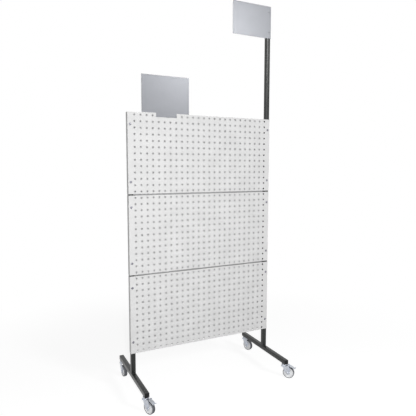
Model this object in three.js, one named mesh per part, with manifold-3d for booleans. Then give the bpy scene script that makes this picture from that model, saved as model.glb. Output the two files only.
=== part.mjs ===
// Rolling partition: a perforated board on two castored feet, with a sign on its top edge
// and a second sign on a mast.
// Millimetres, +Z up. The board faces -Y and the wheels stand on z = 0.

import * as THREE from "three";
import { mergeVertices } from "three/addons/utils/BufferGeometryUtils.js";
import Module from "manifold-3d";

const wasm = await Module();
wasm.setup();

// ---------------------------------------------------------------- driving dimensions

const seatGap = 0.3; // between two pieces that touch
const runningGap = 0.3; // round a pin or rod that turns, or a screw in its hole

// Square frame tube
const tubeSize = 28;
const tubeWall = 2;
const footTubeLength = 555; // front to back, without the end caps
const footToBoard = 127.5; // top of the feet to the board's lower edge
const mastAboveBoard = 735; // board's top edge to the mast's capped end

// Board of perforated panels, each a tray folded from sheet
const boardWidth = 996; // over the panels' side flanges
const panelCount = 3;
const panelGap = 8; // between two panels
const panelSheet = 1.5;
const holePitch = 38;
const holeSize = 10; // square holes
const holeRows = 13;
const rowMargin = 15; // centre of an outer hole row to the panel's edge
const columnMargin = 40; // least distance from a hole's centre to the board's side
const edgeReturn = 15; // depth of the folded top and bottom edges
const returnSetback = 4; // end of such an edge to the upright

// Closed back
const backSheet = 1.2;

const headTaper = 0.7; // flat top of a bolt's or screw's head over its full width

// Coach bolts with a domed head and a square shank, which hold the panels
const boltShank = 6;
const boltHeadRadius = 7.5;
const boltHeadHeight = 3.4;
const boltReach = 6; // inside the tube, past its wall
const boltRowOffset = 1.5; // pitches from an outer hole row
const boltHeadSides = 8;

// Screws that hold the back and the mast sign
const screwRadius = 2;
const screwHeadRadius = 4.5;
const screwHeadHeight = 1.8;
const screwReach = 5;
const screwEndInset = 60; // outer back screws to the board's top and lower edges
const screwSides = 6;

// Push-in tube caps
const capPlate = 2.2;
const capPlugDepth = 12;
const capPlugClearance = 0.3;

// Header sign, clipped over the board's top edge
const signSheet = 1.5;
const headerWidth = 307;
const headerHeight = 223;
const headerCentreX = -257.5;
const headerLift = 1.8; // board's top edge to the plate's lower edge
const tongueWidth = 133;
const tongueDrop = 25; // from the plate's lower edge down, in front of the board
const tongueCentreX = -253.5;
const clipSheet = 1.2;
const clipWidth = 120;
const clipUpstand = 20; // behind the plate
const clipRearLeg = 35; // behind the closed back
const clipRunningGap = 0.3;

// Mast sign
const mastSignWidth = 292;
const mastSignHeight = 208;
const mastSignAboveMast = 9; // plate's top edge over the capped end
const mastSignScrewSpacing = 130;

// Castors
const castorHeight = 95.5; // floor to the foot's underside
const castorInset = 25; // swivel axis to the end of the capped foot
const wheelRadius = 37.5;
const wheelWidth = 22;
const wheelSegments = 16;
const castorTrail = 30; // swivel axis to axle
const coreRadius = 33;
const coreRimWidth = 18;
const tyreShoulder = 3;
const axleRadius = 4;
const axleHeadRadius = 6.5;
const axleHeadHeight = 2.5;
const forkSheet = 2.5;
const forkInnerWidth = 26.5;
const crownHeight = 80; // floor to the crown's underside
const crownLength = 34;
const crownLip = 2.5; // crown's folded ends below its underside
const cheekShoulder = 7.5; // crown's underside to the cheek's rear shoulder
const cheekRear = 4; // cheek's rear edge behind the swivel axis
const cheekRound = 13; // half the cheek's width at the axle
const swivelCupRadius = 18;
const swivelCupHeight = 7.2;
const stemCapRadius = 17;
const stemRadius = 5;
const stemReach = 16; // inside the foot tube
const kingPinRadius = 4;
const kingPinHeadRadius = 6.5;
const kingPinHeadHeight = 2.4;
const stemSides = 8;

// Brake pedals on the front castors
const pedalWidth = 22;
const pedalSheet = 2.2;
const pedalPinRadius = 2.5;
const pedalPinHeight = 83;
const pedalEar = 5; // radius of the cheek's ear round the pin
const pedalBackReach = 6; // pedal's rear end behind its pin
const pedalTopHeight = 86.5;
const pedalDipReach = 68; // swivel axis to the lowest bend
const pedalDipHeight = 71.5;
const pedalReach = 79.5; // swivel axis to the tip
const pedalTipHeight = 79.5;
const brakeLobeClearance = 4; // between the lobe under the pedal and the tread
const brakeLobeStart = 10; // lobe's ends in front of the axle
const brakeLobeEnd = 19;

// How each castor stands: side and end of the frame, turn of its wheel in degrees
const castors = [
  { name: "front_left", side: -1, end: -1, turn: 25, hasBrake: true },
  { name: "front_right", side: 1, end: -1, turn: 40, hasBrake: true },
  { name: "rear_right", side: 1, end: 1, turn: 17, hasBrake: false },
  { name: "rear_left", side: -1, end: 1, turn: 4, hasBrake: false },
];

// ---------------------------------------------------------------- places worked out from them

const halfTube = tubeSize / 2;
const uprightX = boardWidth / 2 - panelSheet - seatGap - halfTube;
const footTop = castorHeight + tubeSize;
const boardBottom = footTop + footToBoard;
const panelHeight = (holeRows - 1) * holePitch + 2 * rowMargin;
const panelStep = panelHeight + panelGap;
const boardTop = boardBottom + panelCount * panelHeight + (panelCount - 1) * panelGap;
const mastTop = boardTop + mastAboveBoard;
const boardFront = -halfTube - seatGap - panelSheet;
const backFront = halfTube + seatGap;
const boardBack = backFront + backSheet;
const sideColumns = Math.floor((boardWidth / 2 - columnMargin) / holePitch);
const capStack = seatGap + capPlate;
const castorY = footTubeLength / 2 + capStack - castorInset;

// Height of a panel's top edge, with panel 0 at the top
const panelTopZ = (index) => boardTop - index * panelStep;

// Heights of a panel's upper and lower bolts
function boltHeights(index) {
  const fromEdge = rowMargin + boltRowOffset * holePitch;
  return [panelTopZ(index) - fromEdge, panelTopZ(index) - panelHeight + fromEdge];
}

const backScrewZ = [
  boardTop - screwEndInset,
  (boardTop + boardBottom) / 2,
  boardBottom + screwEndInset,
];
const mastSignTop = mastTop + mastSignAboveMast;
const mastSignMidZ = mastSignTop - mastSignHeight / 2;
const mastSignScrewZ = [
  mastSignMidZ + mastSignScrewSpacing / 2,
  mastSignMidZ - mastSignScrewSpacing / 2,
];

// ---------------------------------------------------------------- materials

const finish = (color, roughness, metalness) =>
  new THREE.MeshStandardMaterial({ color, roughness, metalness });

const panelPaint = finish(0xdcdcdd, 0.5, 0.1);
const backPaint = finish(0xcfcfd1, 0.55, 0.1);
const framePaint = finish(0x55565a, 0.45, 0.2);
const signPaint = finish(0xcdd0d5, 0.45, 0.1);
const zincPlate = finish(0xa9a8b2, 0.35, 0.85);
const blackPlastic = finish(0x1c1c1e, 0.6, 0);
const whitePlastic = finish(0xe9e9ec, 0.5, 0);
const greyRubber = finish(0x8c8c90, 0.85, 0);

// ---------------------------------------------------------------- shape helpers

// A closed geometry as a solid that can be cut and joined.
function toSolid(geometry) {
  geometry.deleteAttribute("normal");
  geometry.deleteAttribute("uv");
  const merged = mergeVertices(geometry, 1e-4);
  const vertProperties = new Float32Array(merged.attributes.position.array);
  const triVerts = new Uint32Array(merged.index.array);
  return new wasm.Manifold(new wasm.Mesh({ numProp: 3, vertProperties, triVerts }));
}

// A solid's surface as a geometry.
function toGeometry(solid) {
  const surface = solid.getMesh();
  const corners = new Float32Array(surface.numVert * 3);
  for (let i = 0; i < surface.numVert; i += 1) {
    const start = i * surface.numProp;
    corners.set(surface.vertProperties.subarray(start, start + 3), i * 3);
  }
  const geometry = new THREE.BufferGeometry();
  geometry.setAttribute("position", new THREE.BufferAttribute(corners, 3));
  geometry.setIndex(new THREE.BufferAttribute(surface.triVerts, 1));
  geometry.computeVertexNormals();
  return geometry;
}

// A block between two limits along each axis.
function block([x0, x1], [y0, y1], [z0, z1]) {
  const geometry = new THREE.BoxGeometry(x1 - x0, y1 - y0, z1 - z0);
  return toSolid(geometry.translate((x0 + x1) / 2, (y0 + y1) / 2, (z0 + z1) / 2));
}

function rectangle(Kind, [x0, x1], [y0, y1]) {
  return new Kind().moveTo(x0, y0).lineTo(x1, y0).lineTo(x1, y1).lineTo(x0, y1).closePath();
}

// A round hole's outline in a sheet, with the clearance kept on its flats.
function roundHole(x, y, radius, sides) {
  const corner = radius / Math.cos(Math.PI / sides);
  const outline = new THREE.Path();
  for (let i = 0; i < sides; i += 1) {
    const angle = ((i + 0.5) / sides) * 2 * Math.PI;
    const point = [x + corner * Math.cos(angle), y + corner * Math.sin(angle)];
    if (i === 0) outline.moveTo(...point);
    else outline.lineTo(...point);
  }
  return outline.closePath();
}

function polygon(points) {
  return new THREE.Shape(points.map(([x, y]) => new THREE.Vector2(x, y)));
}

// A prism between two planes of equal y: the outline's x stays x and its y becomes z.
function prismAlongY(shape, yFront, yBack) {
  const options = { depth: yBack - yFront, bevelEnabled: false };
  const geometry = new THREE.ExtrudeGeometry(shape, options);
  return toSolid(geometry.rotateX(Math.PI / 2).translate(0, yBack, 0));
}

// A prism centred on x = 0: the outline's x runs forwards, along -y, and its y becomes z.
function prismAlongX(shape, width) {
  const geometry = new THREE.ExtrudeGeometry(shape, { depth: width, bevelEnabled: false });
  const turn = new THREE.Matrix4().makeBasis(
    new THREE.Vector3(0, -1, 0),
    new THREE.Vector3(0, 0, 1),
    new THREE.Vector3(-1, 0, 0),
  );
  return toSolid(geometry.applyMatrix4(turn).translate(width / 2, 0, 0));
}

// A body turned about the y axis, from [radius, distance] points in rising order.
function turned(profile, sides, startAngle) {
  const points = profile.map(([radius, distance]) => new THREE.Vector2(radius, distance));
  return new THREE.LatheGeometry(points, sides, startAngle);
}

// The same with the distances measured along +y or, where direction is -1, along -y.
function turnedAlongY(profile, sides, direction) {
  const geometry = turned(profile, sides, Math.PI / sides);
  return toSolid(direction < 0 ? geometry.rotateZ(Math.PI) : geometry);
}

function turnedAlongZ(profile, sides) {
  return toSolid(turned(profile, sides, Math.PI / sides).rotateX(Math.PI / 2));
}

// Here one corner of the polygon points straight down.
function turnedAlongX(profile, sides) {
  return toSolid(turned(profile, sides, 0).rotateZ(-Math.PI / 2));
}

// Radius of the corners of a hole that clears a round rod by the running gap.
const clearRadius = (rodRadius, sides) => (rodRadius + runningGap) / Math.cos(Math.PI / sides);

function piece(name, solid, material) {
  const mesh = new THREE.Mesh(toGeometry(solid), material);
  mesh.name = name;
  return mesh;
}

// ---------------------------------------------------------------- frame tubes and caps

const tubeOutline = () => {
  const outline = rectangle(THREE.Shape, [-halfTube, halfTube], [-halfTube, halfTube]);
  const bore = halfTube - tubeWall;
  outline.holes.push(rectangle(THREE.Path, [-bore, bore], [-bore, bore]));
  return outline;
};

// What a coach bolt at [x, z] takes out of the sheet or wall between two planes of equal y
function boltHole(x, z, yFront, yBack) {
  const half = boltShank / 2 + runningGap;
  return block([x - half, x + half], [yFront, yBack], [z - half, z + half]);
}

// The same for a screw
function screwHole(x, z, yFront, yBack) {
  const corner = clearRadius(screwRadius, screwSides);
  const geometry = new THREE.CylinderGeometry(corner, corner, yBack - yFront, screwSides);
  return toSolid(geometry.translate(x, (yFront + yBack) / 2, z));
}

function upright(name, side, topZ, signScrewZ) {
  const bottomZ = footTop + seatGap;
  const options = { depth: topZ - bottomZ, bevelEnabled: false };
  const geometry = new THREE.ExtrudeGeometry(tubeOutline(), options);
  let solid = toSolid(geometry.translate(0, 0, bottomZ));
  for (let panel = 0; panel < panelCount; panel += 1) {
    for (const z of boltHeights(panel)) solid = solid.subtract(boltHole(0, z, -tubeSize, 0));
  }
  for (const z of backScrewZ) solid = solid.subtract(screwHole(0, z, 0, tubeSize));
  for (const z of signScrewZ) solid = solid.subtract(screwHole(0, z, -tubeSize, 0));
  const mesh = piece(name, solid, framePaint);
  mesh.position.x = side * uprightX;
  return mesh;
}

function foot(name, side) {
  const half = footTubeLength / 2;
  let solid = prismAlongY(tubeOutline(), -half, half);
  const corner = clearRadius(stemRadius, stemSides);
  for (const end of [-1, 1]) {
    const hole = new THREE.CylinderGeometry(corner, corner, 2 * tubeWall, stemSides);
    hole.rotateX(Math.PI / 2).translate(0, end * castorY, -halfTube + tubeWall / 2);
    solid = solid.subtract(toSolid(hole));
  }
  const mesh = piece(name, solid, framePaint);
  mesh.position.set(side * uprightX, 0, castorHeight + halfTube);
  return mesh;
}

// A cap whose plate lies on z = 0, over the end of a tube that runs down from there.
function tubeCap(name) {
  const plug = halfTube - tubeWall - capPlugClearance;
  const plate = block([-halfTube, halfTube], [-halfTube, halfTube], [seatGap, seatGap + capPlate]);
  const stub = block([-plug, plug], [-plug, plug], [-capPlugDepth, seatGap + capPlate]);
  return piece(name, plate.add(stub), blackPlastic);
}

function frameTubes() {
  const group = new THREE.Group();
  const leftTop = boardTop - capStack;
  const mastEnd = mastTop - capStack;
  group.add(upright("left_upright", -1, leftTop, []));
  group.add(upright("right_upright_mast", 1, mastEnd, mastSignScrewZ));
  const leftCap = tubeCap("left_upright_cap");
  leftCap.position.set(-uprightX, 0, leftTop);
  const mastCap = tubeCap("mast_cap");
  mastCap.position.set(uprightX, 0, mastEnd);
  group.add(leftCap, mastCap);
  for (const [sideName, side] of [["left", -1], ["right", 1]]) {
    group.add(foot(`${sideName}_foot`, side));
    for (const [endName, end] of [["front", -1], ["rear", 1]]) {
      const cap = tubeCap(`${sideName}_foot_${endName}_cap`);
      cap.rotation.x = -end * (Math.PI / 2);
      cap.position.set(side * uprightX, (end * footTubeLength) / 2, castorHeight + halfTube);
      group.add(cap);
    }
  }
  return group;
}

// ---------------------------------------------------------------- board

function perforatedPanel(name, index) {
  const top = panelTopZ(index);
  const bottom = top - panelHeight;
  const half = boardWidth / 2;
  let solid = block([-half, half], [boardFront, boardFront + panelSheet], [bottom, top]);
  for (const side of [-1, 1]) {
    const flange = [side * half, side * (half - panelSheet)].sort((a, b) => a - b);
    solid = solid.add(block(flange, [boardFront, boardBack], [bottom, top]));
  }
  const returnHalf = uprightX - halfTube - returnSetback;
  for (const z of [bottom, top - panelSheet]) {
    const depth = [boardFront, boardFront + edgeReturn];
    solid = solid.add(block([-returnHalf, returnHalf], depth, [z, z + panelSheet]));
  }
  const through = [boardFront - panelSheet, boardFront + 2 * panelSheet];
  for (let row = 0; row < holeRows; row += 1) {
    const z = top - rowMargin - row * holePitch;
    const upwards = [z - holeSize / 2, z + holeSize / 2];
    for (let column = -sideColumns; column <= sideColumns; column += 1) {
      const x = column * holePitch;
      solid = solid.subtract(block([x - holeSize / 2, x + holeSize / 2], through, upwards));
    }
  }
  for (const side of [-1, 1]) {
    for (const z of boltHeights(index)) {
      solid = solid.subtract(boltHole(side * uprightX, z, ...through));
    }
  }
  return piece(name, solid, panelPaint);
}

function backCover() {
  const half = boardWidth / 2 - panelSheet - seatGap;
  const sheet = rectangle(THREE.Shape, [-half, half], [boardBottom, boardTop]);
  for (const side of [-1, 1]) {
    for (const z of backScrewZ) {
      sheet.holes.push(roundHole(side * uprightX, z, screwRadius + runningGap, screwSides));
    }
  }
  return piece("back_sheet", prismAlongY(sheet, backFront, boardBack), backPaint);
}

// ---------------------------------------------------------------- fasteners

// A coach bolt along y: head outside the board's front, shank through the tube's front wall.
function coachBolt(name) {
  const underHead = boardFront - seatGap;
  const shankEnd = -halfTube + tubeWall + boltReach;
  const half = boltShank / 2;
  const shank = block([-half, half], [underHead - boltHeadHeight / 2, shankEnd], [-half, half]);
  const profile = [
    [0, 0],
    [boltHeadRadius, 0],
    [boltHeadRadius * headTaper, boltHeadHeight],
    [0, boltHeadHeight],
  ];
  const head = turnedAlongY(profile, boltHeadSides, -1).translate(0, underHead, 0);
  return piece(name, shank.add(head), zincPlate);
}

// A screw along y on the tube's front (side -1) or back (side 1), its head outside outerFace.
function screw(name, side, outerFace, material) {
  const underHead = outerFace + seatGap;
  const profile = [
    [0, halfTube - tubeWall - screwReach],
    [screwRadius, halfTube - tubeWall - screwReach],
    [screwRadius, underHead],
    [screwHeadRadius, underHead],
    [screwHeadRadius * headTaper, underHead + screwHeadHeight],
    [0, underHead + screwHeadHeight],
  ];
  return piece(name, turnedAlongY(profile, screwSides, side), material);
}

function boardFasteners() {
  const group = new THREE.Group();
  const panelNames = ["upper", "middle", "lower"];
  for (const [sideName, side] of [["left", -1], ["right", 1]]) {
    for (let panel = 0; panel < panelCount; panel += 1) {
      boltHeights(panel).forEach((z, level) => {
        const name = `${panelNames[panel]}_panel_${sideName}_bolt_${level + 1}`;
        const mesh = coachBolt(name);
        mesh.position.set(side * uprightX, 0, z);
        group.add(mesh);
      });
    }
    backScrewZ.forEach((z, level) => {
      const mesh = screw(`back_${sideName}_screw_${level + 1}`, 1, boardBack, zincPlate);
      mesh.position.set(side * uprightX, 0, z);
      group.add(mesh);
    });
  }
  return group;
}

// ---------------------------------------------------------------- signs

function headerSign() {
  const bottom = boardTop + headerLift;
  const tongueBottom = bottom - tongueDrop;
  const left = headerCentreX - headerWidth / 2;
  const right = headerCentreX + headerWidth / 2;
  const tongueLeft = tongueCentreX - tongueWidth / 2;
  const tongueRight = tongueCentreX + tongueWidth / 2;
  const outline = polygon([
    [left, bottom],
    [tongueLeft, bottom],
    [tongueLeft, tongueBottom],
    [tongueRight, tongueBottom],
    [tongueRight, bottom],
    [right, bottom],
    [right, bottom + headerHeight],
    [left, bottom + headerHeight],
  ]);
  const rear = boardFront - seatGap;
  return piece("header_sign", prismAlongY(outline, rear - signSheet, rear), signPaint);
}

// A strip folded over the board's top edge: up behind the sign, across, down behind the back.
function headerClip() {
  const across = [tongueCentreX - clipWidth / 2, tongueCentreX + clipWidth / 2];
  const webBottom = boardTop + clipRunningGap;
  const webTop = webBottom + clipSheet;
  const rear = boardBack + clipRunningGap + clipSheet;
  const upstand = block(across, [boardFront, boardFront + clipSheet], [webBottom, webBottom + clipUpstand]);
  const web = block(across, [boardFront, rear], [webBottom, webTop]);
  const leg = block(across, [rear - clipSheet, rear], [webTop - clipRearLeg, webTop]);
  return piece("header_sign_clip", upstand.add(web).add(leg), signPaint);
}

function mastSign() {
  const right = boardWidth / 2;
  const across = [right - mastSignWidth, right];
  const plate = rectangle(THREE.Shape, across, [mastSignTop - mastSignHeight, mastSignTop]);
  for (const z of mastSignScrewZ) {
    plate.holes.push(roundHole(uprightX, z, screwRadius + runningGap, screwSides));
  }
  const rear = -halfTube - seatGap;
  const group = new THREE.Group();
  group.add(piece("mast_sign", prismAlongY(plate, rear - signSheet, rear), signPaint));
  mastSignScrewZ.forEach((z, level) => {
    const name = `mast_sign_screw_${level + 1}`;
    const mesh = screw(name, -1, signSheet - rear, signPaint);
    mesh.position.set(uprightX, 0, z);
    group.add(mesh);
  });
  return group;
}

// ---------------------------------------------------------------- castors

const cupTop = crownHeight + forkSheet + swivelCupHeight;

// Cap under the foot, stem up into the tube, and the king pin that the fork hangs on.
function stem(name) {
  const headTop = crownHeight - seatGap;
  const profile = [
    [0, headTop - kingPinHeadHeight],
    [kingPinHeadRadius, headTop - kingPinHeadHeight],
    [kingPinHeadRadius, headTop],
    [kingPinRadius, headTop],
    [kingPinRadius, cupTop + seatGap],
    [stemCapRadius, cupTop + seatGap],
    [stemCapRadius, castorHeight - seatGap],
    [stemRadius, castorHeight - seatGap],
    [stemRadius, castorHeight + tubeWall + stemReach],
    [0, castorHeight + tubeWall + stemReach],
  ];
  return piece(name, turnedAlongZ(profile, stemSides), zincPlate);
}

// One cheek of the fork, from the crown down over the wheel's rear half to the axle.
function forkCheek(hasBrake) {
  const top = crownHeight + forkSheet;
  const crownEnd = crownLength / 2;
  const bossRear = castorTrail - cheekRound;
  const bossFront = castorTrail + cheekRound;
  const bossBottom = wheelRadius - cheekRound;
  const corner = cheekRound / 2;
  const earTop = pedalPinHeight + pedalEar;
  const earFront = castorTrail + pedalEar;
  const upperFront = hasBrake
    ? [[earFront, pedalPinHeight], [castorTrail, earTop], [castorTrail - pedalEar, earTop], [crownEnd, top]]
    : [[castorTrail, crownHeight - crownLip], [crownEnd, top]];
  return polygon([
    [-crownEnd, top],
    [-crownEnd, crownHeight - crownLip],
    [-cheekRear, crownHeight - cheekShoulder],
    [bossRear - cheekRound, wheelRadius + corner],
    [bossRear, wheelRadius - corner],
    [castorTrail - corner, bossBottom],
    [castorTrail + corner, bossBottom],
    [bossFront, wheelRadius],
    [bossFront, (wheelRadius + crownHeight) / 2],
    ...upperFront,
  ]);
}

// A channel folded from sheet, with the bearing cup on its crown.
function fork(name, hasBrake) {
  const halfInner = forkInnerWidth / 2;
  const outerWidth = forkInnerWidth + 2 * forkSheet;
  const farEnd = 2 * castorTrail + wheelRadius;
  const across = [-halfInner, halfInner];
  const underCrown = block(across, [-farEnd, farEnd], [0, crownHeight]);
  const beforeCrown = block(across, [-farEnd, -crownLength / 2], [0, castorHeight]);
  const cup = [
    [0, crownHeight + forkSheet / 2],
    [swivelCupRadius, crownHeight + forkSheet / 2],
    [swivelCupRadius, cupTop],
    [0, cupTop],
  ];
  const pinHole = clearRadius(kingPinRadius, stemSides);
  const king = [[0, 0], [pinHole, 0], [pinHole, castorHeight], [0, castorHeight]];
  let solid = prismAlongX(forkCheek(hasBrake), outerWidth);
  solid = solid.subtract(underCrown).subtract(beforeCrown);
  solid = solid.add(turnedAlongZ(cup, stemSides)).subtract(turnedAlongZ(king, stemSides));
  const rods = [[wheelRadius, axleRadius]];
  if (hasBrake) rods.push([pedalPinHeight, pedalPinRadius]);
  for (const [z, radius] of rods) {
    const hole = roundHole(castorTrail, z, radius + runningGap, screwSides);
    solid = solid.subtract(prismAlongX(new THREE.Shape(hole.getPoints(1)), 2 * outerWidth));
  }
  return piece(name, solid, zincPlate);
}

function axle(name) {
  const half = forkInnerWidth / 2 + forkSheet + seatGap;
  const end = half + axleHeadHeight;
  const profile = [
    [0, -end],
    [axleHeadRadius, -end],
    [axleHeadRadius, -half],
    [axleRadius, -half],
    [axleRadius, half],
    [axleHeadRadius, half],
    [axleHeadRadius, end],
    [0, end],
  ];
  return piece(name, turnedAlongX(profile, screwSides), zincPlate);
}

function wheelCore(name) {
  const bore = clearRadius(axleRadius, wheelSegments);
  const hubHalf = forkInnerWidth / 2 - seatGap;
  const rimHalf = coreRimWidth / 2;
  const profile = [
    [bore, -hubHalf],
    [coreRadius, -rimHalf],
    [coreRadius, rimHalf],
    [bore, hubHalf],
    [bore, -hubHalf],
  ];
  return piece(name, turnedAlongX(profile, wheelSegments), whitePlastic);
}

function tyre(name) {
  const inner = coreRadius + seatGap;
  const half = wheelWidth / 2;
  const tread = half - tyreShoulder;
  const profile = [
    [inner, -half],
    [wheelRadius - tyreShoulder, -half],
    [wheelRadius, -tread],
    [wheelRadius, tread],
    [wheelRadius - tyreShoulder, half],
    [inner, half],
    [inner, -half],
  ];
  return piece(name, turnedAlongX(profile, wheelSegments), greyRubber);
}

// Point above the tread, at a distance in front of the axle and a gap from the rubber.
function aboveTread(forwards, gap) {
  const radius = wheelRadius + gap;
  return [castorTrail + forwards, wheelRadius + Math.sqrt(radius ** 2 - forwards ** 2)];
}

// A bent strip on a cross pin: down over the wheel, then up again at the toe.
// The lobe under it meets the tread when the pedal is pressed.
function brakePedal(name) {
  const half = pedalSheet / 2;
  const pinReach = castorTrail;
  const centreLine = [
    [pinReach - pedalBackReach, pedalTopHeight],
    [pinReach + brakeLobeStart, pedalTopHeight - half],
    [(pinReach + brakeLobeEnd + pedalDipReach) / 2, (pedalTopHeight + pedalDipHeight) / 2],
    [pedalDipReach, pedalDipHeight],
    [pedalReach, pedalTipHeight],
  ];
  const upperSide = centreLine.map(([x, z]) => [x, z + half]);
  const lowerSide = centreLine.map(([x, z]) => [x, z - half]);
  const lobe = [
    [pinReach, pedalPinHeight - pedalPinRadius],
    aboveTread(brakeLobeStart, brakeLobeClearance),
    aboveTread(brakeLobeEnd, brakeLobeClearance),
  ];
  const outline = polygon([lowerSide[0], ...lobe, ...lowerSide.slice(2), ...upperSide.reverse()]);
  const strip = prismAlongX(outline, pedalWidth);
  const pinHalf = forkInnerWidth / 2 + forkSheet;
  const pin = new THREE.CylinderGeometry(pedalPinRadius, pedalPinRadius, 2 * pinHalf, screwSides);
  pin.rotateZ(Math.PI / 2).translate(0, -castorTrail, pedalPinHeight);
  return piece(name, strip.add(toSolid(pin)), zincPlate);
}

function castor({ name, side, end, turn, hasBrake }) {
  const group = new THREE.Group();
  group.position.set(side * uprightX, end * castorY, 0);
  group.rotation.z = THREE.MathUtils.degToRad(turn);
  const wheel = new THREE.Group();
  wheel.position.set(0, -castorTrail, wheelRadius);
  wheel.add(axle(`${name}_axle`), wheelCore(`${name}_wheel_core`), tyre(`${name}_tyre`));
  group.add(stem(`${name}_castor_stem`), fork(`${name}_fork`, hasBrake), wheel);
  if (hasBrake) group.add(brakePedal(`${name}_brake_pedal`));
  return group;
}

// ---------------------------------------------------------------- assembly

const partition = new THREE.Group();
partition.add(frameTubes());
["upper_panel", "middle_panel", "lower_panel"].forEach((name, index) => {
  partition.add(perforatedPanel(name, index));
});
partition.add(backCover(), boardFasteners());
partition.add(headerSign(), headerClip(), mastSign());
for (const place of castors) partition.add(castor(place));

// The origin is the middle of the floor that the partition covers.
partition.updateMatrixWorld(true);
const extent = new THREE.Box3().setFromObject(partition, true);
const middle = extent.getCenter(new THREE.Vector3());
partition.position.set(-middle.x, -middle.y, 0);

const root = new THREE.Group();
root.add(partition);

export default root;
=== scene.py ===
"""Looks for the rolling partition: smooth pieces and procedural finishes on the CAD model."""

import math

import bmesh
import bpy
from mathutils import Matrix, Vector


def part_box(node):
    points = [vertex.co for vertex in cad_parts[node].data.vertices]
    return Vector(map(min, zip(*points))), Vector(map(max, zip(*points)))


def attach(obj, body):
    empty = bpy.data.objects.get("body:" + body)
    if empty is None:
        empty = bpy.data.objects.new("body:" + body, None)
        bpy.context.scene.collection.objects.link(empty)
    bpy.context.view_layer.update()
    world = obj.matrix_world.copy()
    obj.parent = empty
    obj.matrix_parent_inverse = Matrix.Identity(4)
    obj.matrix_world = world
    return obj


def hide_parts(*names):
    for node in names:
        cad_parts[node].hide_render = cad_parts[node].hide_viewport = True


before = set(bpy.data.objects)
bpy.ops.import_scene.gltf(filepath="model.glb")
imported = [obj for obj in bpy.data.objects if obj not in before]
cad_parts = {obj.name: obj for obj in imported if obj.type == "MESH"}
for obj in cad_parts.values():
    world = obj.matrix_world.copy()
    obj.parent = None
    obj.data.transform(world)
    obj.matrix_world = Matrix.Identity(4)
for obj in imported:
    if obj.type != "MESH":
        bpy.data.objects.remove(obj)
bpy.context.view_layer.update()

MM = 0.001  # pieces are written in millimetres and kept in metres
CASTORS = {  # turn of each castor's wheel, in degrees
    "front_left": 25,
    "front_right": 40,
    "rear_right": 17,
    "rear_left": 4,
}
BRAKED = ("front_left", "front_right")


# ---------------------------------------------------------------- camera
# Found from the grid of holes. Its place is measured, in metres, from the foot of the middle
# of the board's face.

CAMERA_PLACE = Vector((-1.1994, -2.5213, 1.3995))
CAMERA_RIGHT = Vector((0.8990, -0.43795, 0.00106))
CAMERA_DOWN = Vector((-0.04004, -0.0846, -0.99561))
CAMERA_FORWARD = Vector((0.43611, 0.89501, -0.09359))
CAMERA_LENS = 37.44
CAMERA_SENSOR = 36


def add_camera():
    """The photograph's camera. Returns its place."""
    low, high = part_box("upper_panel")
    place = Vector(((low.x + high.x) / 2, low.y, 0)) + CAMERA_PLACE
    camera = bpy.data.objects.new("camera", bpy.data.cameras.new("camera"))
    bpy.context.scene.collection.objects.link(camera)
    turn = Matrix((CAMERA_RIGHT, -CAMERA_DOWN, -CAMERA_FORWARD)).transposed().to_4x4()
    camera.matrix_world = Matrix.Translation(place) @ turn
    camera.data.sensor_width = CAMERA_SENSOR
    camera.data.lens = CAMERA_LENS
    bpy.context.scene.camera = camera
    return place


# ---------------------------------------------------------------- materials
# Sizes of noise and depths of relief are in metres.

NOISE_LOW, NOISE_HIGH = 0.25, 0.75  # nearly all of a noise lies between these


def srgb(r, g, b):
    """A colour as the render shows it, 0 to 255, as the linear colour a shader takes."""
    def linear(value):
        value /= 255
        return value / 12.92 if value <= 0.04045 else ((value + 0.055) / 1.055) ** 2.4

    return (linear(r), linear(g), linear(b), 1)


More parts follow.
